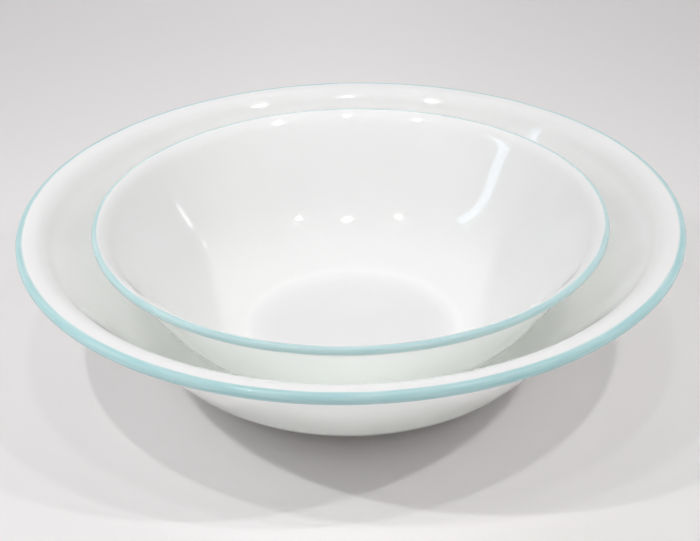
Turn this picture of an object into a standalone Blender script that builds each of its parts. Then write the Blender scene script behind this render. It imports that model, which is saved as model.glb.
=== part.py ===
"""Two nested opal-glass bowls: a wide serving bowl with a smaller flared bowl standing in it.

Each bowl is one turned piece of glass with a fired enamel band round the edge of its lip. The units are
metres, +Z is up, and the origin is the centre of the serving bowl's foot, on the table.
"""
import math
from dataclasses import dataclass

import bpy


@dataclass(frozen=True)
class BowlShape:
    """Driving dimensions of one bowl, in metres, with slopes in degrees above level."""

    rim_diameter: float  # across the outside of the enamel band
    height: float  # from the foot to the top of the enamel band
    wall: float  # glass thickness of floor and wall
    wall_slope: float  # straight part of the wall
    corner_radius: float  # inside, from the floor up into the wall
    bend_radius: float  # upper side of the reverse bend from the wall out to the lip
    lip_slope: float  # rise of the lip outwards
    lip_width: float  # straight part of the lip, from the bend to the round of its edge
    edge_thickness: float  # glass at the rounded edge of the lip
    band_run: float  # enamel in along the straight lip; less than zero stops it short, on the round
    foot_offset: float  # outside of the foot ring, beyond the flat floor
    foot_width: float  # flat land of the foot ring
    foot_height: float  # from the land to the underside of the floor
    foot_draft: float  # how far each flank of the ring leans over its height


BAND_THICKNESS = 0.0004  # the enamel's body
SEAT_GAP = 0.0003  # left between pieces that touch
RIM_GAP = 0.0288  # from the serving bowl's rim in to the nested bowl's rim
RIM_DROP = 0.0007  # from the serving bowl's rim down to the nested bowl's rim

SERVING_BOWL = BowlShape(
    rim_diameter=0.2600,
    height=0.0630,
    wall=0.0025,
    wall_slope=49.0,
    corner_radius=0.0300,
    bend_radius=0.0100,
    lip_slope=2.0,
    lip_width=0.0031,
    edge_thickness=0.0030,
    band_run=0.0006,
    foot_offset=0.0005,
    foot_width=0.0042,
    foot_height=0.0014,
    foot_draft=0.0006,
)

# The nested bowl stands on the serving bowl's floor, and its rim follows the serving bowl's rim.
NESTED_STAND = SERVING_BOWL.foot_height + SERVING_BOWL.wall + SEAT_GAP

NESTED_BOWL = BowlShape(
    rim_diameter=SERVING_BOWL.rim_diameter - 2 * RIM_GAP,
    height=SERVING_BOWL.height - RIM_DROP - NESTED_STAND,
    wall=0.0024,
    wall_slope=56.0,
    corner_radius=0.0600,
    bend_radius=0.0120,
    lip_slope=31.0,
    lip_width=0.0018,
    edge_thickness=0.0020,
    band_run=-0.0004,
    foot_offset=0.0160,
    foot_width=0.0038,
    foot_height=0.0022,
    foot_draft=0.0008,
)

TURN_STEPS = 64
CORNER_STEPS = 9
BEND_STEPS = 5
EDGE_STEPS = 8
WELD_DISTANCE = 0.00001

OPAL_WHITE = (0.86, 0.88, 0.86, 1.0)
AQUA = (0.48, 0.68, 0.69, 1.0)
GLASS_ROUGHNESS = 0.08
ENAMEL_ROUGHNESS = 0.18

BELOW = -math.pi / 2
ABOVE = math.pi / 2


def arc(centre, radius, start, end, steps):
    """Points round a centre, with angles in radians from the outward direction, turning upwards."""
    angles = [start + (end - start) * step / steps for step in range(steps + 1)]
    return [(centre[0] + radius * math.cos(a), centre[1] + radius * math.sin(a)) for a in angles]


def lip_point(bowl, inwards, upwards):
    """Point measured along the lip and square to it from the centre of its rounded edge."""
    slope = math.radians(bowl.lip_slope)
    reach = band_reach(bowl)
    return (
        bowl.rim_diameter / 2 - reach - inwards * math.cos(slope) - upwards * math.sin(slope),
        bowl.height - reach - inwards * math.sin(slope) + upwards * math.cos(slope),
    )


def band_reach(bowl):
    """From the centre of the lip's rounded edge to the outside of the enamel band."""
    return bowl.edge_thickness / 2 + SEAT_GAP + BAND_THICKNESS


def bend_centre(bowl):
    """Centre of the reverse bend, which lies under the lip."""
    return lip_point(bowl, bowl.lip_width, bowl.edge_thickness / 2 - bowl.bend_radius)


def corner_centre(bowl):
    """Centre of the corner's round, found by running the straight wall down from the bend."""
    slope = math.radians(bowl.wall_slope)
    bend = bend_centre(bowl)
    wall_top = (bend[0] - bowl.bend_radius * math.sin(slope), bend[1] + bowl.bend_radius * math.cos(slope))
    height = bowl.foot_height + bowl.wall + bowl.corner_radius
    wall_foot = height - bowl.corner_radius * math.cos(slope)
    run = (wall_top[1] - wall_foot) / math.tan(slope)
    return wall_top[0] - run - bowl.corner_radius * math.sin(slope), height


def underside_outline(bowl):
    """Outside of the corner, the foot ring and the recess inside it, ending on the axis."""
    slope = math.radians(bowl.wall_slope)
    corner = corner_centre(bowl)
    outer_radius = bowl.corner_radius + bowl.wall
    foot_radius = corner[0] + bowl.foot_offset
    flank_turn = math.asin((bowl.foot_offset + bowl.foot_draft) / outer_radius)
    land_inside = foot_radius - bowl.foot_width
    return arc(corner, outer_radius, BELOW + slope, BELOW + flank_turn, CORNER_STEPS) + [
        (foot_radius, 0.0),
        (land_inside, 0.0),
        (land_inside - bowl.foot_draft, bowl.foot_height),
        (0.0, bowl.foot_height),
    ]


def glass_outline(bowl):
    """Half section of the glass: up the inside, round the edge of the lip and down the outside."""
    wall_slope = math.radians(bowl.wall_slope)
    lip_slope = math.radians(bowl.lip_slope)
    corner = corner_centre(bowl)
    bend = bend_centre(bowl)
    edge = lip_point(bowl, 0.0, 0.0)
    outline = [(0.0, bowl.foot_height + bowl.wall)]
    outline += arc(corner, bowl.corner_radius, BELOW, BELOW + wall_slope, CORNER_STEPS)
    outline += arc(bend, bowl.bend_radius, ABOVE + wall_slope, ABOVE + lip_slope, BEND_STEPS)
    outline += arc(edge, bowl.edge_thickness / 2, ABOVE + lip_slope, BELOW + lip_slope, EDGE_STEPS)
    outline += arc(bend, bowl.bend_radius - bowl.wall, ABOVE + lip_slope, ABOVE + wall_slope, BEND_STEPS)
    return outline + underside_outline(bowl)


def band_path(bowl, distance):
    """Enamel at a distance from the centre of the lip's edge: from its inner end, out and round to below."""
    lip_slope = math.radians(bowl.lip_slope)
    turn_short = max(0.0, -bowl.band_run / band_reach(bowl))
    edge = lip_point(bowl, 0.0, 0.0)
    path = arc(edge, distance, ABOVE + lip_slope - turn_short, BELOW + lip_slope, EDGE_STEPS)
    if bowl.band_run > 0.0:
        path.insert(0, lip_point(bowl, bowl.band_run, distance))
    return path


def band_outline(bowl):
    """Closed section of the enamel: its outside round the edge of the lip, and back along its inside."""
    outside = band_reach(bowl)
    return band_path(bowl, outside) + band_path(bowl, outside - BAND_THICKNESS)[::-1]


def finish(name, colour, roughness):
    """Glossy material of one colour."""
    material = bpy.data.materials.new(name)
    material.use_nodes = True
    shader = material.node_tree.nodes["Principled BSDF"]
    shader.inputs["Base Color"].default_value = colour
    shader.inputs["Roughness"].default_value = roughness
    shader.inputs["Metallic"].default_value = 0.0
    return material


def turned(name, outline, closed, material, collection):
    """Piece made by turning a half section about the upright axis."""
    edges = [(k, k + 1) for k in range(len(outline) - 1)]
    if closed:
        edges.append((len(outline) - 1, 0))
    mesh = bpy.data.meshes.new(name)
    mesh.from_pydata([(radius, 0.0, height) for radius, height in outline], edges, [])
    mesh.materials.append(material)
    piece = bpy.data.objects.new(name, mesh)
    collection.objects.link(piece)
    screw = piece.modifiers.new("turn", "SCREW")
    screw.axis = "Z"
    screw.angle = math.tau
    screw.steps = TURN_STEPS
    screw.render_steps = TURN_STEPS
    screw.use_merge_vertices = True
    screw.merge_threshold = WELD_DISTANCE
    screw.use_smooth_shade = True
    return piece


def make_bowl(name, bowl, collection):
    """Glass and enamel of one bowl, standing on its own foot."""
    glass = finish(name + "_glass", OPAL_WHITE, GLASS_ROUGHNESS)
    enamel = finish(name + "_enamel", AQUA, ENAMEL_ROUGHNESS)
    return [
        turned(name, glass_outline(bowl), False, glass, collection),
        turned(name + "_rim_band", band_outline(bowl), True, enamel, collection),
    ]


def main():
    """Clear the scene, make both bowls and stand the smaller one on the larger one's floor."""
    for old in list(bpy.data.objects):
        bpy.data.objects.remove(old, do_unlink=True)
    collection = bpy.data.collections.new("nested_serving_bowls")
    bpy.context.scene.collection.children.link(collection)

    make_bowl("serving_bowl", SERVING_BOWL, collection)

    lift = bpy.data.objects.new("nested_bowl_lift", None)
    lift.location = (0.0, 0.0, NESTED_STAND)
    collection.objects.link(lift)
    for piece in make_bowl("nested_bowl", NESTED_BOWL, collection):
        piece.parent = lift


main()
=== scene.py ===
"""Looks of two nested opal-glass bowls with aqua enamel round their rims.

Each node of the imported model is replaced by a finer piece, turned from a half section that takes its rim and
its stand from the node. The units are metres, +Z is up, and the origin is the centre of the serving bowl's
foot, on the table.
"""
import logging
import math
from dataclasses import dataclass, field
from enum import Enum
from typing import Optional

import bpy
import numpy as np
from mathutils import Matrix, Vector

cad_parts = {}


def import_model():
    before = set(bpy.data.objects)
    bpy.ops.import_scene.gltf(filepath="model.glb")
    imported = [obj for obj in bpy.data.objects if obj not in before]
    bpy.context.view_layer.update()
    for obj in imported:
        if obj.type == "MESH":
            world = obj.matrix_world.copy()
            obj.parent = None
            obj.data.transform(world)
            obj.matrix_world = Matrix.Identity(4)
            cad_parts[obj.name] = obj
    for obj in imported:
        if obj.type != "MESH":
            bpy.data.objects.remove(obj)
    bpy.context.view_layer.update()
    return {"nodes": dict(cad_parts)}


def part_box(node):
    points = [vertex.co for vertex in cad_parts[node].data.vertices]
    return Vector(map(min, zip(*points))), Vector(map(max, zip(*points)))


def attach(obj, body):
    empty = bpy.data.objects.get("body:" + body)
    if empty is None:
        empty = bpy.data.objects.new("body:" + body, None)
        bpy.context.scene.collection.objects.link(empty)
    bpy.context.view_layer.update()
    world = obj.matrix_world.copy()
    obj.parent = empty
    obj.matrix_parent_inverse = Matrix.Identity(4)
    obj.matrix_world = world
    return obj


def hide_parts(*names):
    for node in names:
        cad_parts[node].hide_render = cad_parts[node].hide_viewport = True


LOG = logging.getLogger("nested_bowls")

GLASS_TURNS = 288  # steps round the axis
BAND_TURNS = 480
BAND_ROWS = 33  # across the outside of the enamel
BACK_STEP = 4  # one in so many of those rows has a partner on the inside of the enamel
COAT_FALL = 8  # power by which the coat thins towards both edges
EDGE_WAVES = ((7, 1.0, 0.4), (13, 0.7, 2.1), (29, 0.6, 0.0))  # count round the rim, height and phase of each
LOWER_SHIFT = BAND_TURNS // 5  # steps from the waves of the inner edge to those of the lower edge
LONGEST_STEP = 0.0015  # along a section
STEP_SLACK = 1.01  # a straight part may be longer than the longest step by this much
SHORTEST_STEP = 1e-7  # shorter steps are dropped
WIDEST_TURN = math.radians(6.0)  # between two points of a round
MIX_FIRST_NUMBER, MIX_SECOND_NUMBER = 2, 3  # a Mix node's inputs share names, so they go by their places
MIX_FIRST_COLOUR, MIX_SECOND_COLOUR = 6, 7
MIX_COLOUR = 2  # place of its output for colours
NOISE_MIDDLE = 0.5
NOISE_RANGE = (0.3, 0.7)  # where most of a noise lies
LIGHT_BOUNCES = 40  # white glass in white glass passes light on many times


class Body(Enum):
    """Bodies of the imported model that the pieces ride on."""

    SERVING = "serving_bowl"
    NESTED = "nested_bowl"


class Slot(Enum):
    """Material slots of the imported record."""

    GLASS = "opal_glass"
    ENAMEL = "aqua_enamel"


class Mirrored(Enum):
    """Whether a lamp shows as a highlight in the glass."""

    YES = True
    NO = False


class Mark(Enum):
    """Values that a piece carries on its points for its finish."""

    FOOT_WEAR = "foot_wear"
    # share of painted light, a lighter ring on the inside floor over the foot ring
    PAINTED_RING = "foot_above"
    INSIDE = "inside"
    # share of painted shade, which greys the surfaces that light falls on most
    PAINTED_SHADE = "film"
    ACROSS = "across"


def direction(angle: float) -> np.ndarray:
    """Unit vector of a section at an angle in radians above the outward direction."""
    return np.array([math.cos(angle), math.sin(angle)])


def unit(vector: np.ndarray) -> np.ndarray:
    """The vector at length one."""
    return vector / np.linalg.norm(vector)


def meeting(first: np.ndarray, first_angle: float, second: np.ndarray, second_angle: float) -> np.ndarray:
    """Point where two straight lines of a section meet.

    Formula: first + s * first direction = second + t * second direction, solved for s and t.

    Args:
        first: A point of the first line.
        first_angle: Its angle in radians above the outward direction.
        second: A point of the second line.
        second_angle: Its angle.

    Returns:
        The meeting point as radius and height.
    """
    sides = np.stack([direction(first_angle), -direction(second_angle)], axis=1)
    reach = np.linalg.solve(sides, second - first)
    return first + reach[0] * direction(first_angle)


def round_points(centre: np.ndarray, radius: float, start: float, sweep: float) -> np.ndarray:
    """Points of a round, spread evenly in angle and close enough for a smooth mirror image.

    Formula: centre + radius * (cos a, sin a), with a from start to start + sweep.

    Args:
        centre: Centre of the round.
        radius: Its radius.
        start: First angle in radians.
        sweep: Signed angle that it turns through.

    Returns:
        Array of points, one row each.
    """
    widest = min(WIDEST_TURN, LONGEST_STEP / radius)
    steps = max(2, math.ceil(abs(sweep) / widest))
    angles = start + sweep * np.linspace(0.0, 1.0, steps + 1)
    return centre + radius * np.stack([np.cos(angles), np.sin(angles)], axis=1)


def eased_corner(before: np.ndarray, tip: np.ndarray, after: np.ndarray, radius: float) -> np.ndarray:
    """Round that replaces a corner.

    Formula: the centre lies on the bisector at radius / sin(half the corner's angle), and the round touches
    both sides at radius / tan(half the angle) from the tip.

    Args:
        before: Point before the corner.
        tip: The corner.
        after: Point after the corner.
        radius: Radius of the round.

    Returns:
        Points of the round, from the first side to the second.
    """
    back, ahead = unit(before - tip), unit(after - tip)
    half = 0.5 * math.acos(float(np.clip(back @ ahead, -1.0, 1.0)))
    centre = tip + unit(back + ahead) * radius / math.sin(half)
    touch = radius / math.tan(half)
    first = tip + back * touch - centre
    last = tip + ahead * touch - centre
    start = math.atan2(first[1], first[0])
    sweep = math.atan2(last[1], last[0]) - start
    sweep = (sweep + math.pi) % math.tau - math.pi
    return round_points(centre, radius, start, sweep)


def eased_path(corners: np.ndarray) -> np.ndarray:
    """Section through a row of corners, each eased by its own radius, with long straight parts divided.

    Formula: every corner with a radius becomes a round, and a straight part of length L gets
    L / (STEP_SLACK * LONGEST_STEP) steps, rounded up, at equal shares of its length.

    Args:
        corners: Rows of radius from the axis, height and easing radius.

    Returns:
        Array of points, one row each.
    """
    parts = [corners[:1, :2]]
    for before, corner, after in zip(corners[:-2], corners[1:-1], corners[2:]):
        if corner[2] > 0.0:
            parts.append(eased_corner(before[:2], corner[:2], after[:2], corner[2]))
        else:
            parts.append(corner[None, :2])
    parts.append(corners[-1:, :2])
    points = np.vstack(parts)
    spans = np.diff(points, axis=0)
    lengths = np.hypot(spans[:, 0], spans[:, 1])
    kept = lengths > SHORTEST_STEP
    points = np.vstack([points[:-1][kept], points[-1:]])
    spans, lengths = np.diff(points, axis=0), lengths[kept]
    counts = np.maximum(1, np.ceil(lengths / (STEP_SLACK * LONGEST_STEP))).astype(int)
    order = np.arange(counts.sum()) - np.repeat(np.cumsum(counts) - counts, counts)
    shares = (order / np.repeat(counts, counts))[:, None]
    divided = np.repeat(points[:-1], counts, axis=0) + np.repeat(spans, counts, axis=0) * shares
    return np.vstack([divided, points[-1:]])


def grid_faces(rows: int, turns: int, closed: bool) -> np.ndarray:
    """Four-sided faces of a grid that closes round the axis.

    Formula: face (i, j) joins the points (i, j), (i + 1, j), (i + 1, j + 1) and (i, j + 1), with j counted
    round the axis and, on a closed section, i counted round the section.

    Args:
        rows: Points of the section.
        turns: Steps round the axis.
        closed: True if the section's last point joins its first.

    Returns:
        Array of point numbers, four to a row.
    """
    row = np.arange(rows if closed else rows - 1)[:, None]
    turn = np.arange(turns)[None, :]
    below, beside = (row + 1) % rows, (turn + 1) % turns
    corners = [row * turns + turn, below * turns + turn, below * turns + beside, row * turns + beside]
    return np.stack([np.broadcast_to(c, (len(row), turns)) for c in corners], axis=-1).reshape(-1, 4)


def turned_points(radius: np.ndarray, height: np.ndarray, turns: int) -> np.ndarray:
    """Points of rings round the axis.

    Formula: the points of ring i stand at radius_i * cos(a), radius_i * sin(a), height_i, where the angle a
    goes once round in equal steps.

    Args:
        radius: Radius of each ring.
        height: Height of each ring.
        turns: Steps round the axis.

    Returns:
        Array of points, one row each, ring after ring.
    """
    angles = np.arange(turns) * math.tau / turns
    sides = [np.outer(radius, np.cos(angles)), np.outer(radius, np.sin(angles))]
    return np.stack([*sides, np.outer(height, np.ones(turns))], axis=-1).reshape(-1, 3)


def make_piece(
    name: str, points: np.ndarray, faces: list, marks: dict[Mark, np.ndarray]
) -> bpy.types.Object:
    """Smooth mesh object at the origin.

    Args:
        name: Name of the piece.
        points: Its points, one row each.
        faces: Lists of point numbers, turning so that the faces point outwards.
        marks: Values on the points for the finish.

    Returns:
        The new object.
    """
    mesh = bpy.data.meshes.new(name)
    mesh.from_pydata(points.tolist(), [], faces)
    mesh.polygons.foreach_set("use_smooth", np.ones(len(mesh.polygons), dtype=bool))
    for mark, values in marks.items():
        layer = mesh.attributes.new(mark.value, "FLOAT", "POINT")
        layer.data.foreach_set("value", np.ascontiguousarray(values, dtype=np.float32))
    mesh.update()
    piece = bpy.data.objects.new(name, mesh)
    bpy.context.scene.collection.objects.link(piece)
    return piece


def turned_solid(name: str, section: np.ndarray, marks: dict[Mark, np.ndarray]) -> bpy.types.Object:
    """Solid turned from a half section whose two ends lie on the axis.

    Formula: each point of the section becomes a ring, as turned_points says, and its two ends are single
    points that close the floor and the underside.

    Args:
        name: Name of the piece.
        section: Rows of radius and height, from the middle of the inside to the middle of the underside.
        marks: One value for each row of the section.

    Returns:
        The new object.
    """
    radius, height = section[1:-1, 0], section[1:-1, 1]
    rings = turned_points(radius, height, GLASS_TURNS)
    poles = np.array([[0.0, 0.0, section[0, 1]], [0.0, 0.0, section[-1, 1]]])
    turn = np.arange(GLASS_TURNS)
    beside = (turn + 1) % GLASS_TURNS
    last = (len(radius) - 1) * GLASS_TURNS
    top = np.full(GLASS_TURNS, len(rings))
    faces = grid_faces(len(radius), GLASS_TURNS, closed=False).tolist()
    faces += np.stack([top, turn, beside], axis=1).tolist()
    faces += np.stack([last + turn, top + 1, last + beside], axis=1).tolist()
    spread = {
        mark: np.concatenate([np.repeat(values[1:-1], GLASS_TURNS), values[[0, -1]]])
        for mark, values in marks.items()
    }
    return make_piece(name, np.vstack([rings, poles]), faces, spread)


class NodeBench:
    """Adds nodes to one tree and joins them."""

    def __init__(self, tree: bpy.types.NodeTree) -> None:
        """Keep the tree."""
        self.tree = tree

    def add(
        self, kind: str, settings: Optional[dict] = None, inputs: Optional[dict] = None
    ) -> bpy.types.Node:
        """New node.

        Args:
            kind: Blender's name of the node.
            settings: Values of the node's own properties.
            inputs: By socket name or number, a plain value or the output socket that feeds it.

        Returns:
            The node.
        """
        node = self.tree.nodes.new(kind)
        for name, value in (settings or {}).items():
            setattr(node, name, value)
        for name, value in (inputs or {}).items():
            self.feed(node, name, value)
        return node

    def feed(self, node: bpy.types.Node, name: object, value: object) -> None:
        """Join an output to an input, or set the input to a plain value.

        Args:
            node: The node with the input.
            name: Name or number of the input.
            value: An output socket or a plain value.
        """
        if isinstance(value, bpy.types.NodeSocket):
            self.tree.links.new(value, node.inputs[name])
        else:
            node.inputs[name].default_value = value

    def math(self, operation: str, first: object, second: object) -> bpy.types.NodeSocket:
        """Output of a Math node on two values."""
        return self.add("ShaderNodeMath", {"operation": operation}, {0: first, 1: second}).outputs[0]

    def remap(
        self, value: object, low: float, high: float, to_low: float, to_high: float
    ) -> bpy.types.NodeSocket:
        """Value carried smoothly and with limits from one range to another.

        Args:
            value: The socket to carry over.
            low: Start of its range.
            high: End of its range.
            to_low: What the start becomes.
            to_high: What the end becomes.

        Returns:
            The output socket.
        """
        limits = {"Value": value, "From Min": low, "From Max": high, "To Min": to_low, "To Max": to_high}
        node = self.add("ShaderNodeMapRange", {"interpolation_type": "SMOOTHSTEP"}, limits)
        return node.outputs["Result"]

    def blend(self, share: object, first: object, second: object) -> bpy.types.NodeSocket:
        """Colour between two colours.

        Args:
            share: Share of the second colour.
            first: The first colour.
            second: The second colour.

        Returns:
            The output socket.
        """
        node = self.add("ShaderNodeMix", {"data_type": "RGBA"})
        self.feed(node, "Factor", share)
        self.feed(node, MIX_FIRST_COLOUR, first)
        self.feed(node, MIX_SECOND_COLOUR, second)
        return node.outputs[MIX_COLOUR]

    def noise(self, vector: object, scale: object, detail: float) -> bpy.types.NodeSocket:
        """Level of a cloudy noise."""
        inputs = {"Vector": vector, "Scale": scale, "Detail": detail}
        return self.add("ShaderNodeTexNoise", inputs=inputs).outputs["Fac"]

    def bump(self, strength: float, distance: float, height: object) -> bpy.types.NodeSocket:
        """Normal of a surface that has a height."""
        inputs = {"Strength": strength, "Distance": distance, "Height": height}
        return self.add("ShaderNodeBump", inputs=inputs).outputs["Normal"]

    def mix_shaders(self, share: object, first: object, second: object) -> bpy.types.NodeSocket:
        """Shader between two shaders."""
        return self.add("ShaderNodeMixShader", inputs={0: share, 1: first, 2: second}).outputs[0]

    def mark(self, mark: Mark) -> bpy.types.NodeSocket:
        """Value that the piece carries on its points."""
        return self.add("ShaderNodeAttribute", {"attribute_name": mark.value}).outputs["Fac"]

    def place(self) -> bpy.types.NodeSocket:
        """Object coordinates."""
        return self.add("ShaderNodeTexCoord").outputs["Object"]


class SharedEffects:
    """Shader node groups that more than one finish uses."""

    FINE_RATIO: float = 9.0  # scale of the ripple's fine waves to its broad ones
    PATCH_RATIO: float = 0.6  # scale of the patches that break up the hairlines, to the hairlines' own
    PATCH_RANGE: tuple = (0.48, 0.62)  # levels of the patches over which the hairlines come in

    def __init__(self) -> None:
        """Build each group once."""
        self.drift = self.build_drift()
        self.ripple = self.build_ripple()
        self.hairlines = self.build_hairlines()

    @staticmethod
    def new_group(
        name: str, inputs: dict[str, str], output: tuple[str, str]
    ) -> tuple[NodeBench, dict, bpy.types.Node]:
        """Empty node group.

        Args:
            name: Name of the group.
            inputs: Socket type by input name.
            output: Name and socket type of its output.

        Returns:
            The bench of its tree, its inputs by name, and the node that takes its output.
        """
        tree = bpy.data.node_groups.new(name, "ShaderNodeTree")
        for label, kind in inputs.items():
            tree.interface.new_socket(label, in_out="INPUT", socket_type=kind)
        tree.interface.new_socket(output[0], in_out="OUTPUT", socket_type=output[1])
        bench = NodeBench(tree)
        source = bench.add("NodeGroupInput")
        return bench, {label: source.outputs[label] for label in inputs}, bench.add("NodeGroupOutput")

    def build_drift(self) -> bpy.types.NodeTree:
        """Slow brightening and darkening of a colour by a cloudy noise.

        Returns:
            The group's tree.
        """
        sockets = {
            "Color": "NodeSocketColor",
            "Vector": "NodeSocketVector",
            "Scale": "NodeSocketFloat",
            "Amount": "NodeSocketFloat",
        }
        bench, given, result = self.new_group("tone_drift", sockets, ("Color", "NodeSocketColor"))
        cloud = bench.noise(given["Vector"], given["Scale"], detail=3.0)
        swing = bench.math("SUBTRACT", cloud, NOISE_MIDDLE)
        gain = bench.math("ADD", bench.math("MULTIPLY", swing, given["Amount"]), 1.0)
        scaling = {0: given["Color"], "Scale": gain}
        scaled = bench.add("ShaderNodeVectorMath", {"operation": "SCALE"}, scaling)
        bench.feed(result, "Color", scaled.outputs["Vector"])
        return bench.tree

    def build_ripple(self) -> bpy.types.NodeTree:
        """Height of a gently uneven, fire-polished surface.

        Returns:
            The group's tree.
        """
        sockets = {"Vector": "NodeSocketVector", "Scale": "NodeSocketFloat", "Fine Share": "NodeSocketFloat"}
        bench, given, result = self.new_group("polish_ripple", sockets, ("Height", "NodeSocketFloat"))
        broad = bench.noise(given["Vector"], given["Scale"], detail=1.0)
        fine_scale = bench.math("MULTIPLY", given["Scale"], self.FINE_RATIO)
        fine = bench.noise(given["Vector"], fine_scale, detail=2.0)
        fine_height = bench.math("MULTIPLY", fine, given["Fine Share"])
        bench.feed(result, "Height", bench.math("ADD", broad, fine_height))
        return bench.tree

    def build_hairlines(self) -> bpy.types.NodeTree:
        """Mask of hair-fine rubbing marks: thin level lines of one noise, broken up by a second.

        Returns:
            The group's tree.
        """
        sockets = {"Vector": "NodeSocketVector", "Scale": "NodeSocketFloat", "Width": "NodeSocketFloat"}
        bench, given, result = self.new_group("rubbing_hairlines", sockets, ("Mask", "NodeSocketFloat"))
        field = bench.noise(given["Vector"], given["Scale"], detail=1.0)
        swing = bench.math("SUBTRACT", field, NOISE_MIDDLE)
        away = bench.add("ShaderNodeMath", {"operation": "ABSOLUTE"}, {0: swing}).outputs[0]
        lines = bench.math("SUBTRACT", 1.0, bench.math("DIVIDE", away, given["Width"]))
        patch_scale = bench.math("MULTIPLY", given["Scale"], self.PATCH_RATIO)
        patches = bench.noise(given["Vector"], patch_scale, detail=0.0)
        broken = bench.remap(patches, *self.PATCH_RANGE, 0.0, 1.0)
        product = {"operation": "MULTIPLY", "use_clamp": True}
        shown = bench.add("ShaderNodeMath", product, {0: lines, 1: broken})
        bench.feed(result, "Mask", shown.outputs[0])
        return bench.tree


def new_material(name: str) -> tuple[NodeBench, bpy.types.Node]:
    """Empty material with a Principled shader.

    Args:
        name: Name of the material.

    Returns:
        The bench of its tree and the shader node.
    """
    material = bpy.data.materials.new(name)
    material.use_nodes = True
    return NodeBench(material.node_tree), material.node_tree.nodes["Principled BSDF"]


def use_group(bench: NodeBench, group: bpy.types.NodeTree, inputs: dict) -> bpy.types.NodeSocket:
    """Output of a shared effect placed in a material with its own values."""
    return bench.add("ShaderNodeGroup", {"node_tree": group}, inputs).outputs[0]


@dataclass(frozen=True)
class OpalGlass:
    """Fire-polished white opal glass, faintly cloudy, dull on the land of the foot, with painted shade and
    light.
    """

    name: str
    white: tuple = (0.976, 0.987, 0.974, 1.0)
    # painted shade: a greyer white for the inside and lip, where light falls most strongly
    painted_shade_white: tuple = (0.835, 0.83, 0.83, 1.0)
    # painted light: a lighter white for a ring on the inside floor over the foot ring
    painted_ring_white: tuple = (0.985, 0.990, 0.985, 1.0)
    worn_white: tuple = (0.70, 0.70, 0.68, 1.0)
    polish: float = 0.03  # roughness where it is smoothest
    polish_change: float = 0.02  # added in the rougher patches
    patch_scale: float = 60.0
    rubbed: float = 0.16  # roughness that a rubbing mark adds
    ground: float = 0.5  # roughness of the foot's land
    glow: float = 1.0  # share of the light that scatters within the glass
    glow_radius: tuple = (1.0, 1.0, 1.0)  # alike for red, green and blue
    glow_depth: float = 0.0120  # how far it scatters
    cloud_scale: float = 38.0
    cloud_change: float = 0.03
    hairline_scale: float = 46.0
    hairline_width: float = 0.006
    hairline_depth: float = 0.03  # to one broad wave of the polish
    ripple_scale: float = 45.0
    ripple_fine: float = 0.02
    ripple_strength: float = 0.25
    ripple_height: float = 0.0005
    refraction: float = 1.5

    def build(self, effects: SharedEffects) -> bpy.types.Material:
        """Material of the glass.

        Args:
            effects: The shared node groups.

        Returns:
            The material.
        """
        bench, shader = new_material(self.name)
        place = bench.place()
        wear = bench.mark(Mark.FOOT_WEAR)
        inside = bench.mark(Mark.INSIDE)
        # painted shade: the greyer white comes in where the piece's mark says
        painted_shade_colour = bench.blend(bench.mark(Mark.PAINTED_SHADE), self.white, self.painted_shade_white)
        # painted light: the lighter ring over the foot
        body = bench.blend(bench.mark(Mark.PAINTED_RING), painted_shade_colour, self.painted_ring_white)
        clouds = {"Color": body, "Vector": place, "Scale": self.cloud_scale, "Amount": self.cloud_change}
        cloudy = use_group(bench, effects.drift, clouds)
        bench.feed(shader, "Base Color", bench.blend(wear, cloudy, self.worn_white))

        hairlines = {"Vector": place, "Scale": self.hairline_scale, "Width": self.hairline_width}
        rubbing = bench.math("MULTIPLY", use_group(bench, effects.hairlines, hairlines), inside)
        patch = bench.noise(place, self.patch_scale, detail=4.0)
        polish = bench.remap(patch, *NOISE_RANGE, self.polish, self.polish + self.polish_change)
        used = bench.math("ADD", polish, bench.math("MULTIPLY", rubbing, self.rubbed))
        roughness = {"Factor": wear, MIX_FIRST_NUMBER: used, MIX_SECOND_NUMBER: self.ground}
        rough = bench.add("ShaderNodeMix", {"data_type": "FLOAT"}, roughness)
        bench.feed(shader, "Roughness", rough.outputs[0])

        waves = {"Vector": place, "Scale": self.ripple_scale, "Fine Share": self.ripple_fine}
        height = use_group(bench, effects.ripple, waves)
        dents = bench.math("SUBTRACT", height, bench.math("MULTIPLY", rubbing, self.hairline_depth))
        bench.feed(shader, "Normal", bench.bump(self.ripple_strength, self.ripple_height, dents))
        shader.inputs["IOR"].default_value = self.refraction
        shader.inputs["Subsurface Weight"].default_value = self.glow
        shader.inputs["Subsurface Radius"].default_value = self.glow_radius
        shader.inputs["Subsurface Scale"].default_value = self.glow_depth
        return bpy.data.materials[self.name]


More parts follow.
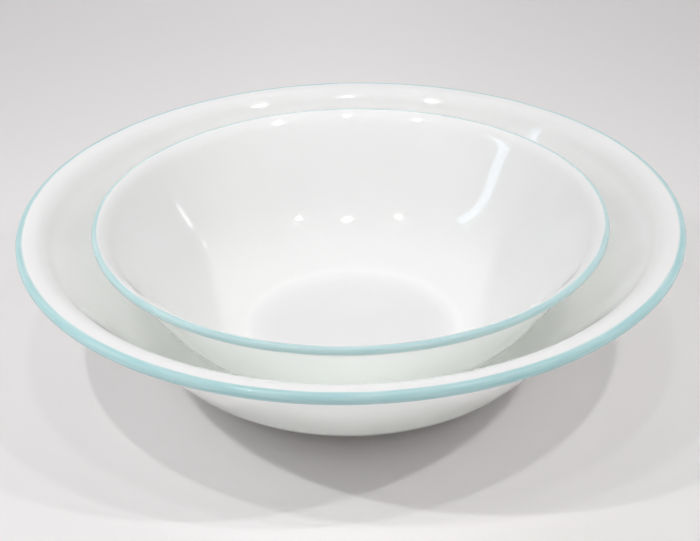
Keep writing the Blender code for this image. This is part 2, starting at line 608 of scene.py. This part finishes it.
@dataclass(frozen=True)
class AquaEnamel:
    """Fired aqua enamel, brushed on round the rim, thinner and paler along its inner edge."""

    name: str
    aqua: tuple = (0.455, 0.665, 0.68, 1.0)
    deep_aqua: tuple = (0.38, 0.62, 0.64, 1.0)
    thin_aqua: tuple = (0.74, 0.83, 0.83, 1.0)
    feather: float = 0.16  # share of its width over which the inner edge is thin
    edge_change: float = 0.10  # how far that edge wanders, to the band's width
    brush_width: float = 0.12  # distance in the brush's noise that stands for the band's width
    brush_scale: float = 55.0
    brush_range: tuple = (0.35, 0.68)  # levels of the brush's noise from a light to a full load
    tone_scale: float = 22.0
    tone_change: float = 0.14
    hairline_scale: float = 120.0
    hairline_width: float = 0.01
    rubbed: float = 0.12  # roughness that a rubbing mark adds
    gloss: tuple = (0.10, 0.20)  # least and greatest roughness
    ripple_scale: float = 110.0
    ripple_fine: float = 0.15
    ripple_strength: float = 0.3
    ripple_height: float = 0.0003
    refraction: float = 1.52

    def build(self, effects: SharedEffects) -> bpy.types.Material:
        """Material of the enamel.

        Args:
            effects: The shared node groups.

        Returns:
            The material.
        """
        bench, shader = new_material(self.name)
        place = bench.place()
        across = bench.mark(Mark.ACROSS)
        parts = bench.add("ShaderNodeSeparateXYZ", inputs={0: place})
        width = bench.math("MULTIPLY", across, self.brush_width)
        round_axis = {0: parts.outputs[0], 1: parts.outputs[1], 2: width}
        brushed = bench.add("ShaderNodeCombineXYZ", inputs=round_axis).outputs[0]
        streaks = bench.noise(brushed, self.brush_scale, detail=3.0)
        load = bench.remap(streaks, *self.brush_range, 0.0, 1.0)
        coat = bench.blend(load, self.aqua, self.deep_aqua)
        swing = bench.math("SUBTRACT", streaks, NOISE_MIDDLE)
        uneven = bench.math("MULTIPLY", swing, self.edge_change)
        edge = bench.remap(bench.math("ADD", across, uneven), 0.0, self.feather, 1.0, 0.0)
        thinned = bench.blend(edge, coat, self.thin_aqua)
        tones = {"Color": thinned, "Vector": place, "Scale": self.tone_scale, "Amount": self.tone_change}
        bench.feed(shader, "Base Color", use_group(bench, effects.drift, tones))

        hairlines = {"Vector": place, "Scale": self.hairline_scale, "Width": self.hairline_width}
        rubbing = bench.math("MULTIPLY", use_group(bench, effects.hairlines, hairlines), self.rubbed)
        gloss = bench.remap(streaks, *NOISE_RANGE, *self.gloss)
        bench.feed(shader, "Roughness", bench.math("ADD", gloss, rubbing))
        waves = {"Vector": brushed, "Scale": self.ripple_scale, "Fine Share": self.ripple_fine}
        height = use_group(bench, effects.ripple, waves)
        bench.feed(shader, "Normal", bench.bump(self.ripple_strength, self.ripple_height, height))
        shader.inputs["IOR"].default_value = self.refraction
        return bpy.data.materials[self.name]


@dataclass(frozen=True)
class PaperFloor:
    """Pale matt paper that runs out into a plain pale background."""

    name: str
    paper: tuple = (0.755, 0.737, 0.738, 1.0)
    # painted shade: darker paper towards the back, where less light falls
    shaded_far_paper: tuple = (0.675, 0.655, 0.66, 1.0)
    background: tuple = (0.70, 0.67, 0.675, 1.0)
    near: float = 0.8  # from the origin, where the background starts to take over
    far: float = 1.8  # and where it has
    back_shade_start: float = 0.05  # along +Y, where painted shade starts to darken the paper
    back_shade_end: float = 0.45
    tone_scale: float = 6.0
    tone_change: float = 0.03
    grain_scale: float = 350.0
    grain_fine: float = 0.5
    grain_strength: float = 0.15
    grain_height: float = 0.0002
    roughness: float = 0.8
    sheen_level: float = 0.2

    def build(self, effects: SharedEffects) -> bpy.types.Material:
        """Material of the floor.

        Args:
            effects: The shared node groups.

        Returns:
            The material.
        """
        bench, shader = new_material(self.name)
        place = bench.place()
        depth = bench.add("ShaderNodeSeparateXYZ", inputs={0: place}).outputs[1]
        # painted shade: the paper darkens along +Y
        back_shade = bench.remap(depth, self.back_shade_start, self.back_shade_end, 0.0, 1.0)
        paper = bench.blend(back_shade, self.paper, self.shaded_far_paper)
        tones = {"Color": paper, "Vector": place, "Scale": self.tone_scale, "Amount": self.tone_change}
        bench.feed(shader, "Base Color", use_group(bench, effects.drift, tones))
        fibres = {"Vector": place, "Scale": self.grain_scale, "Fine Share": self.grain_fine}
        grain = use_group(bench, effects.ripple, fibres)
        bench.feed(shader, "Normal", bench.bump(self.grain_strength, self.grain_height, grain))
        shader.inputs["Roughness"].default_value = self.roughness
        shader.inputs["Specular IOR Level"].default_value = self.sheen_level

        distance = bench.add("ShaderNodeVectorMath", {"operation": "LENGTH"}, {0: place}).outputs["Value"]
        away = bench.remap(distance, self.near, self.far, 0.0, 1.0)
        seen = bench.math("MULTIPLY", away, seen_directly(bench))
        glow = bench.add("ShaderNodeEmission", inputs={"Color": self.background, "Strength": 1.0})
        mixed = bench.mix_shaders(seen, shader.outputs[0], glow.outputs[0])
        bench.feed(bench.tree.nodes["Material Output"], "Surface", mixed)
        return bpy.data.materials[self.name]


def seen_directly(bench: NodeBench) -> bpy.types.NodeSocket:
    """One for rays from the camera, mirrored rays and rays through glass, and zero for light.

    Args:
        bench: The bench of the tree that asks.

    Returns:
        The output socket.
    """
    path = bench.add("ShaderNodeLightPath").outputs
    mirrored = bench.math("MAXIMUM", path["Is Glossy Ray"], path["Is Transmission Ray"])
    return bench.math("MAXIMUM", path["Is Camera Ray"], mirrored)


@dataclass(frozen=True)
class BowlForm:
    """Driving sizes of one bowl, in metres, with slopes in degrees above level."""

    body: Body
    glass_node: str
    band_node: str
    wall: float  # glass thickness of floor and wall
    wall_slope: float  # straight part of the wall
    mouth_radius: float  # inside of the straight wall, carried up to the level of the rim
    corner_radius: float  # inside, from the floor up into the wall
    bend_radius: float  # upper side of the reverse bend from the wall out to the lip
    lip_slope: float  # rise of the lip outwards
    lip_under_slope: float  # rise of the lip's underside outwards
    edge_reach: float  # from the middle of the lip's edge to the outside of the enamel
    band_run: float  # enamel in along the straight lip; less than zero stops it short, on the round
    foot_radius: float  # outside of the foot's land
    foot_width: float  # flat land of the foot ring
    foot_height: float  # from the land to the underside of the floor
    foot_draft: float  # how far each flank of the ring leans over its height
    painted_shade_start: float  # radius from which the inside gets painted shade; less than zero is all of it
    coat: float = 0.00007  # enamel that stands proud of the glass


@dataclass
class GlassBowl:
    """One turned bowl of opal glass with its enamel band."""

    form: BowlForm
    glass: OpalGlass
    enamel: AquaEnamel
    wobble: float = 0.00012  # unevenness of the enamel's edges
    coat_sink: float = 0.00003  # how far the enamel's edges lie under the glass
    coat_depth: float = 0.00015  # inside of the enamel's body under the glass
    band_tail: float = -0.0003  # how far the enamel runs past the round onto the lip's underside
    land_easing: float = 0.0006  # radius of the foot's eased corners
    flank_room: float = 0.0008  # left on the outside of the corner for the easing into the foot's flank
    wear_height: float = 0.0003  # how far up the foot is dull
    painted_ring_spread: float = 0.45  # spread of the painted lighter ring over the foot, to the width of its land
    painted_shade_fade: float = 0.006  # distance over which the painted shade comes in
    rim_radius: float = field(init=False)  # this and the rest are worked out by measure
    rim_top: float = field(init=False)
    stand: float = field(init=False)
    lip: float = field(init=False)
    lip_under: float = field(init=False)
    slope: float = field(init=False)
    edge_radius: float = field(init=False)
    edge: np.ndarray = field(init=False)
    round_length: float = field(init=False)
    lip_normal: np.ndarray = field(init=False)
    wall_normal: np.ndarray = field(init=False)

    def measure(self) -> None:
        """Read the rim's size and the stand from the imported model, and work out the lines of the section."""
        band_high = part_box(self.form.band_node)[1]
        self.rim_radius = band_high.x
        self.rim_top = band_high.z
        self.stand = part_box(self.form.glass_node)[0].z
        self.lip = math.radians(self.form.lip_slope)
        self.lip_under = math.radians(self.form.lip_under_slope)
        self.slope = math.radians(self.form.wall_slope)
        self.edge_radius = self.form.edge_reach - self.form.coat
        self.edge = np.array([self.rim_radius - self.form.edge_reach, self.rim_top - self.form.edge_reach])
        self.round_length = (math.pi + self.lip - self.lip_under) * self.edge_radius
        self.lip_normal = direction(self.lip + math.pi / 2)
        self.wall_normal = direction(self.slope + math.pi / 2)

    def inside_corners(self) -> list[list[float]]:
        """Corners of the inside and of the lip's edge.

        Returns:
            Rows of radius from the axis, height and easing radius.
        """
        form = self.form
        floor = np.array([0.0, self.stand + form.foot_height + form.wall])
        mouth = np.array([form.mouth_radius, self.rim_top])
        lip_top = self.edge + self.edge_radius * self.lip_normal
        lip_under = self.edge + self.edge_radius * direction(self.lip_under - math.pi / 2)
        wall_outside = mouth - form.wall * self.wall_normal
        tip = self.edge + self.edge_radius * direction(self.lip)
        upright = self.lip + math.pi / 2
        return [
            [*floor, 0.0],
            [*meeting(floor, 0.0, mouth, self.slope), form.corner_radius],
            [*meeting(mouth, self.slope, lip_top, self.lip), form.bend_radius],
            [*meeting(lip_top, self.lip, tip, upright), self.edge_radius],
            [*meeting(tip, upright, lip_under, self.lip_under), self.edge_radius],
            [*meeting(wall_outside, self.slope, lip_under, self.lip_under), form.bend_radius - form.wall],
        ]

    def underside_corners(self) -> list[list[float]]:
        """Corners of the outside of the corner, the foot ring and the recess inside it.

        Returns:
            Rows of radius from the axis, height and easing radius.
        """
        form = self.form
        floor = self.stand + form.foot_height
        mouth = np.array([form.mouth_radius, self.rim_top])
        inside = np.array([0.0, floor + form.wall])
        touch = form.corner_radius * math.tan(self.slope / 2)
        middle = meeting(inside, 0.0, mouth, self.slope) + [-touch, form.corner_radius]
        outer = form.corner_radius + form.wall
        flank = math.asin((form.foot_radius + form.foot_draft - middle[0]) / outer)
        sweep = flank + self.flank_room / outer - self.slope
        outside = round_points(middle, outer, self.slope - math.pi / 2, sweep)
        join = middle + outer * direction(flank - math.pi / 2)
        land_inside = form.foot_radius - form.foot_width
        rounds = [[*point, 0.0] for point in outside]
        return rounds + [
            [*join, self.land_easing],
            [form.foot_radius, self.stand, self.land_easing],
            [land_inside, self.stand, self.land_easing],
            [land_inside - form.foot_draft, floor, self.land_easing],
            [0.0, floor, 0.0],
        ]

    def build_glass(self) -> bpy.types.Object:
        """Turned glass with the marks that its finish reads.

        Returns:
            The new object.
        """
        form = self.form
        section = eased_path(np.array(self.inside_corners() + self.underside_corners()))
        radius, height = section.T
        rows = np.arange(len(section))
        inside = (rows < np.argmax(radius)).astype(float)
        # painted light: a lighter ring on the inside floor, over the foot ring
        ring_middle = form.foot_radius - form.foot_width / 2
        painted_ring_width = self.painted_ring_spread * form.foot_width
        above = inside * np.exp(-(((radius - ring_middle) / painted_ring_width) ** 2))
        wear_top = self.stand + self.wear_height
        wear = (1.0 - inside) * np.clip((wear_top - height) / self.wear_height, 0.0, 1.0)
        # painted shade on the inside, from its start radius outwards
        film = inside * np.clip((radius - form.painted_shade_start) / self.painted_shade_fade, 0.0, 1.0)
        marks = {Mark.INSIDE: inside, Mark.PAINTED_SHADE: film, Mark.PAINTED_RING: above, Mark.FOOT_WEAR: wear}
        return turned_solid(form.glass_node + "_glass", section, marks)

    def edge_surface(self, along: np.ndarray) -> tuple[np.ndarray, np.ndarray]:
        """Points of the glass round the lip's edge, and their outward normals.

        Formula: the distance along the section is zero where the top of the lip runs into the round of its
        edge. Below zero the point lies on the top of the lip, then it turns round the edge by distance over
        edge radius, and past the end of the round it lies on the underside of the lip.

        Args:
            along: Distances along the section.

        Returns:
            Points and normals, each with radius and height in the last place.
        """
        turn = np.clip(along, 0.0, self.round_length) / self.edge_radius
        angle = self.lip + math.pi / 2 - turn
        normal = np.stack([np.cos(angle), np.sin(angle)], axis=-1)
        on_top = np.minimum(along, 0.0)[..., None] * direction(self.lip)
        under = np.maximum(along - self.round_length, 0.0)[..., None] * direction(self.lip_under)
        return self.edge + self.edge_radius * normal + on_top - under, normal

    def build_band(self) -> bpy.types.Object:
        """Enamel ring on the edge of the lip.

        Formula: at each angle round the axis the coat runs from its wavy inner edge at the top of the lip,
        round the edge, to its wavy lower edge. Its outside stands off the glass by the coat's thickness,
        which falls away by the power COAT_FALL towards both edges, and its inside lies a constant depth in
        the glass.

        Returns:
            The new object.
        """
        form = self.form
        angles = np.arange(BAND_TURNS) * math.tau / BAND_TURNS
        wave = sum(height * np.sin(count * angles + phase) for count, height, phase in EDGE_WAVES)
        first = 0.5 * self.wobble * wave - form.band_run
        last = self.round_length + self.band_tail + 0.5 * self.wobble * np.roll(wave, LOWER_SHIFT)
        across = 0.5 - 0.5 * np.cos(np.linspace(0.0, math.pi, BAND_ROWS))
        fullness = 1.0 - np.abs(2.0 * across - 1.0) ** COAT_FALL
        proud = (form.coat + self.coat_sink) * fullness - self.coat_sink
        back = across[::-BACK_STEP]
        shares = np.concatenate([across, back])
        offsets = np.concatenate([proud, np.full(len(back), -self.coat_depth)])
        along = first + shares[:, None] * (last - first)
        point, normal = self.edge_surface(along)
        ring = point + offsets[:, None, None] * normal
        radius, height = ring[..., 0], ring[..., 1]
        points = np.stack([radius * np.cos(angles), radius * np.sin(angles), height], axis=-1)
        faces = grid_faces(len(shares), BAND_TURNS, closed=True).tolist()
        marks = {Mark.ACROSS: np.repeat(shares, BAND_TURNS)}
        return make_piece(form.band_node + "_enamel", points.reshape(-1, 3), faces, marks)

    def build(self) -> dict[str, bpy.types.Object]:
        """Both pieces by the node that each replaces."""
        return {self.form.glass_node: self.build_glass(), self.form.band_node: self.build_band()}

    def dress(self, pieces: dict[str, bpy.types.Object], effects: SharedEffects) -> None:
        """Give the pieces their finishes and put them in their nodes' places.

        Args:
            pieces: The pieces by the node that each replaces.
            effects: The shared node groups.
        """
        finishes = {
            self.form.glass_node: (self.glass.build(effects), Slot.GLASS),
            self.form.band_node: (self.enamel.build(effects), Slot.ENAMEL),
        }
        for node, piece in pieces.items():
            material, slot = finishes[node]
            piece.data.materials.append(material)
            if slot is Slot.ENAMEL:  # so thin a coat lets light through to the glass
                piece.visible_shadow = False
                piece.visible_diffuse = False
            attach(piece, self.form.body.value)
            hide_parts(node)
            LOG.info("%s stands for %s: %d faces", piece.name, node, len(piece.data.polygons))


@dataclass(frozen=True)
class Lamp:
    """Flat lamp that faces the bowls."""

    name: str
    place: tuple
    power: float
    size: tuple
    mirrored: Mirrored
    along: tuple = (1.0, 0.0, 0.0)  # direction of its first side
    aim: tuple = (0.0, 0.0, 0.03)
    colour: tuple = (1.0, 1.0, 1.0)
    card: Optional[tuple] = None  # floor X where it halves the light, and its share of the way down
    card_size: tuple = (0.35, 0.60)

    def build(self) -> bpy.types.Object:
        """Area light at its place.

        Returns:
            The light's object.
        """
        light = bpy.data.lights.new(self.name, "AREA")
        light.shape = "ELLIPSE" if self.size[0] == self.size[1] else "RECTANGLE"
        light.size, light.size_y = self.size
        light.energy = self.power
        light.color = self.colour
        lamp = bpy.data.objects.new(self.name, light)
        away = (Vector(self.place) - Vector(self.aim)).normalized()
        side = Vector(self.along)
        side = (side - away * side.dot(away)).normalized()
        turn = Matrix((side, away.cross(side), away)).transposed()
        lamp.matrix_world = Matrix.Translation(self.place) @ turn.to_4x4()
        lamp.visible_glossy = self.mirrored.value
        bpy.context.scene.collection.objects.link(lamp)
        if self.card:
            self.build_card()
        return lamp

    def build_card(self) -> bpy.types.Object:
        """Opaque card near the lamp that keeps its light on its own side.

        Formula: a level rectangle at the given share of the way from the lamp down to the floor. Its first
        edge runs along Y on the line from the lamp to the place where the light is to be halved, and the rest
        lies beyond that edge, away from the lamp.

        Returns:
            The card's object, which only casts shadow.
        """
        halved, share = self.card
        edge = np.array(self.place) * (1.0 - share) + np.array([halved, 0.0, 0.0]) * share
        over = math.copysign(self.card_size[0], -self.place[0])
        reach = 0.5 * self.card_size[1]
        corners = np.array([[0.0, -reach, 0.0], [over, -reach, 0.0], [over, reach, 0.0], [0.0, reach, 0.0]])
        card = make_piece(self.name + "_card", edge + corners, [[0, 1, 2, 3]], {})
        card.visible_camera = False
        card.visible_glossy = False
        card.visible_diffuse = False
        card.visible_transmission = False
        return card


BLUISH = (0.72, 0.86, 1.0)
DEEP = (0.0, 1.0, 0.0)
UPRIGHT = (0.0, 0.0, 1.0)

# The keys and the ceiling lamps cast the shadows, the panels fill, and the rest are there to be mirrored.
LAMPS = (
    Lamp("key_left", (-1.98, -0.69, 2.145), 29.5, (0.09, 0.09), Mirrored.NO, card=(0.10, 0.30)),
    Lamp("key_right", (1.98, -0.69, 2.145), 23.0, (0.09, 0.09), Mirrored.NO, card=(-0.10, 0.30)),
    Lamp("ceiling_left", (-0.555, -0.4, 1.5), 5.2, (0.065, 0.065), Mirrored.YES, card=(0.07, 0.12)),
    Lamp("ceiling_middle", (0.02, -0.4, 1.5), 1.4, (0.09, 0.09), Mirrored.YES),
    Lamp("ceiling_right", (0.595, -0.4, 1.5), 5.3, (0.065, 0.065), Mirrored.YES, card=(-0.07, 0.12)),
    Lamp("back_panel", (0.0, 1.3, 2.3), 8.5, (2.0, 0.8), Mirrored.NO),
    Lamp("side_panel_left", (-2.2, 0.0, 1.5), 6.0, (0.8, 2.0), Mirrored.NO, along=UPRIGHT),
    Lamp("side_panel_right", (2.2, 0.0, 1.5), 4.2, (0.8, 2.0), Mirrored.NO, along=UPRIGHT),
    Lamp("low_panel_left", (-1.6, -1.25, 0.12), 2.0, (1.2, 0.2), Mirrored.NO, along=(0.62, -0.79, 0.0)),
    Lamp("low_panel_right", (1.6, -1.25, 0.12), 2.0, (1.2, 0.2), Mirrored.NO, along=(0.62, 0.79, 0.0)),
    Lamp(
        "window", (-1.054, 0.0045, 0.80), 0.62, (0.119, 0.43),
        Mirrored.YES, along=DEEP, colour=BLUISH,
    ),
    Lamp(
        "window_top", (-0.936, 0.135, 0.943), 0.045, (0.07, 0.05),
        Mirrored.YES, along=DEEP, colour=BLUISH,
    ),
    Lamp(
        "streak_low", (1.012, 0.378, 0.435), 0.022, (0.05, 0.03),
        Mirrored.YES, along=(0.01, -0.041, 0.014),
    ),
    Lamp(
        "streak_middle", (0.885, 0.437, 0.643), 0.042, (0.09, 0.03),
        Mirrored.YES, along=(-0.086, 0.05, 0.101),
    ),
    Lamp(
        "streak_high", (0.734, 0.586, 0.727), 0.016, (0.05, 0.03),
        Mirrored.YES, along=(-0.13, 0.13, 0.039),
    ),
    Lamp(
        "streak_right", (-0.85, 0.68, 0.36), 0.012, (0.116, 0.03),
        Mirrored.YES, along=(-0.046, -0.006, -0.107),
    ),
)


@dataclass
class Studio:
    """Floor, lamps and the light of the room."""

    floor: PaperFloor
    radius: float = 6.0
    rings: int = 24
    turns: int = 96
    room_light: tuple = (1.0, 0.99, 0.985, 1.0)
    room_level: float = 0.245

    def build_floor(self, effects: SharedEffects) -> bpy.types.Object:
        """Flat round floor.

        Formula: ring i of the grid has the radius of the floor times (i / rings) squared, at height zero.

        Args:
            effects: The shared node groups.

        Returns:
            The floor's object.
        """
        radius = self.radius * (np.arange(1, self.rings + 1) / self.rings) ** 2
        points = turned_points(radius, np.zeros(self.rings), self.turns)
        turn = np.arange(self.turns)
        middle = np.full(self.turns, len(points))
        faces = grid_faces(self.rings, self.turns, closed=False).tolist()
        faces += np.stack([middle, turn, (turn + 1) % self.turns], axis=1).tolist()
        floor = make_piece("studio_floor", np.vstack([points, [[0.0, 0.0, 0.0]]]), faces, {})
        floor.data.materials.append(self.floor.build(effects))
        return floor

    def build_room(self) -> None:
        """World light, with the plain background for what the camera and the glass see."""
        world = bpy.data.worlds.new("studio_room")
        bpy.context.scene.world = world
        world.use_nodes = True
        bench = NodeBench(world.node_tree)
        light = world.node_tree.nodes["Background"]
        light.inputs["Color"].default_value = self.room_light
        light.inputs["Strength"].default_value = self.room_level
        plain = bench.add("ShaderNodeBackground", inputs={"Color": self.floor.background, "Strength": 1.0})
        mixed = bench.mix_shaders(seen_directly(bench), light.outputs[0], plain.outputs[0])
        bench.feed(world.node_tree.nodes["World Output"], "Surface", mixed)

    def build(self, effects: SharedEffects) -> None:
        """Floor, room and lamps, in that order.

        Args:
            effects: The shared node groups.
        """
        self.build_floor(effects)
        self.build_room()
        for lamp in LAMPS:
            LOG.info("lamp %s", lamp.build().name)


@dataclass(frozen=True)
class PhotoCamera:
    """Camera at the photograph's viewing angle, with angles in degrees."""

    place: tuple = (0.0, -0.5252, 0.3347)
    pitch: float = 29.71  # below level
    pan: float = -0.06  # to the right
    roll: float = 1.17
    focal_pixels: float = 1500.0
    image_width: float = 700.0
    sensor: float = 36.0
    clip_start: float = 0.01

    def build(self) -> bpy.types.Object:
        """Camera of the scene.

        Returns:
            The camera's object.
        """
        pitch, pan, roll = (math.radians(angle) for angle in (self.pitch, self.pan, self.roll))
        flat = math.cos(pitch)
        ahead = Vector((math.sin(pan) * flat, math.cos(pan) * flat, -math.sin(pitch)))
        level = Vector((math.cos(pan), -math.sin(pan), 0.0))
        upright = level.cross(ahead)
        right = level * math.cos(roll) - upright * math.sin(roll)
        up = level * math.sin(roll) + upright * math.cos(roll)
        lens = bpy.data.cameras.new("photo_camera")
        lens.sensor_width = self.sensor
        lens.lens = self.sensor * self.focal_pixels / self.image_width
        lens.clip_start = self.clip_start
        camera = bpy.data.objects.new("photo_camera", lens)
        turn = Matrix((right, up, -ahead)).transposed()
        camera.matrix_world = Matrix.Translation(self.place) @ turn.to_4x4()
        bpy.context.scene.collection.objects.link(camera)
        bpy.context.scene.camera = camera
        return camera


SERVING_FORM = BowlForm(
    body=Body.SERVING,
    glass_node="serving_bowl",
    band_node="serving_bowl_rim_band",
    wall=0.0025,
    wall_slope=49.0,
    mouth_radius=0.12117,
    corner_radius=0.0300,
    bend_radius=0.0100,
    lip_slope=4.0,
    lip_under_slope=-12.0,
    edge_reach=0.0022,
    band_run=0.0006,
    foot_radius=0.0558,
    foot_width=0.0042,
    foot_height=0.0014,
    foot_draft=0.0006,
    painted_shade_start=0.1150,
)

NESTED_FORM = BowlForm(
    body=Body.NESTED,
    glass_node="nested_bowl",
    band_node="nested_bowl_rim_band",
    wall=0.0024,
    wall_slope=56.0,
    mouth_radius=0.09728,
    corner_radius=0.0600,
    bend_radius=0.0120,
    lip_slope=31.0,
    lip_under_slope=31.0,
    edge_reach=0.0017,
    band_run=-0.0004,
    foot_radius=0.0453,
    foot_width=0.0038,
    foot_height=0.0022,
    foot_draft=0.0008,
    painted_shade_start=-0.0060,
)


SERVING_BOWL = GlassBowl(
    SERVING_FORM,
    OpalGlass("serving_bowl_opal_glass"),
    AquaEnamel("serving_bowl_aqua_enamel"),
)

NESTED_BOWL = GlassBowl(
    NESTED_FORM,
    OpalGlass(
        "nested_bowl_opal_glass",
        painted_shade_white=(0.855, 0.848, 0.854, 1.0),
        painted_ring_white=(0.880, 0.873, 0.878, 1.0),
        glow_depth=0.0075,
    ),
    AquaEnamel(
        "nested_bowl_aqua_enamel",
        aqua=(0.52, 0.70, 0.71, 1.0),
        deep_aqua=(0.45, 0.66, 0.675, 1.0),
        thin_aqua=(0.76, 0.84, 0.84, 1.0),
    ),
)


def main() -> None:
    """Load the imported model, make the camera, the studio and both bowls."""
    logging.basicConfig(level=logging.INFO, format="%(message)s")
    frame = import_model()
    LOG.info("packed nodes: %s", ", ".join(sorted(frame["nodes"])))
    bpy.context.scene.view_settings.view_transform = "Standard"
    bpy.context.scene.cycles.max_bounces = LIGHT_BOUNCES
    bpy.context.scene.cycles.diffuse_bounces = LIGHT_BOUNCES
    PhotoCamera().build()
    effects = SharedEffects()
    Studio(PaperFloor("pale_paper")).build(effects)
    for bowl in (SERVING_BOWL, NESTED_BOWL):
        bowl.measure()
        bowl.dress(bowl.build(), effects)


if __name__ == "__main__":
    main()
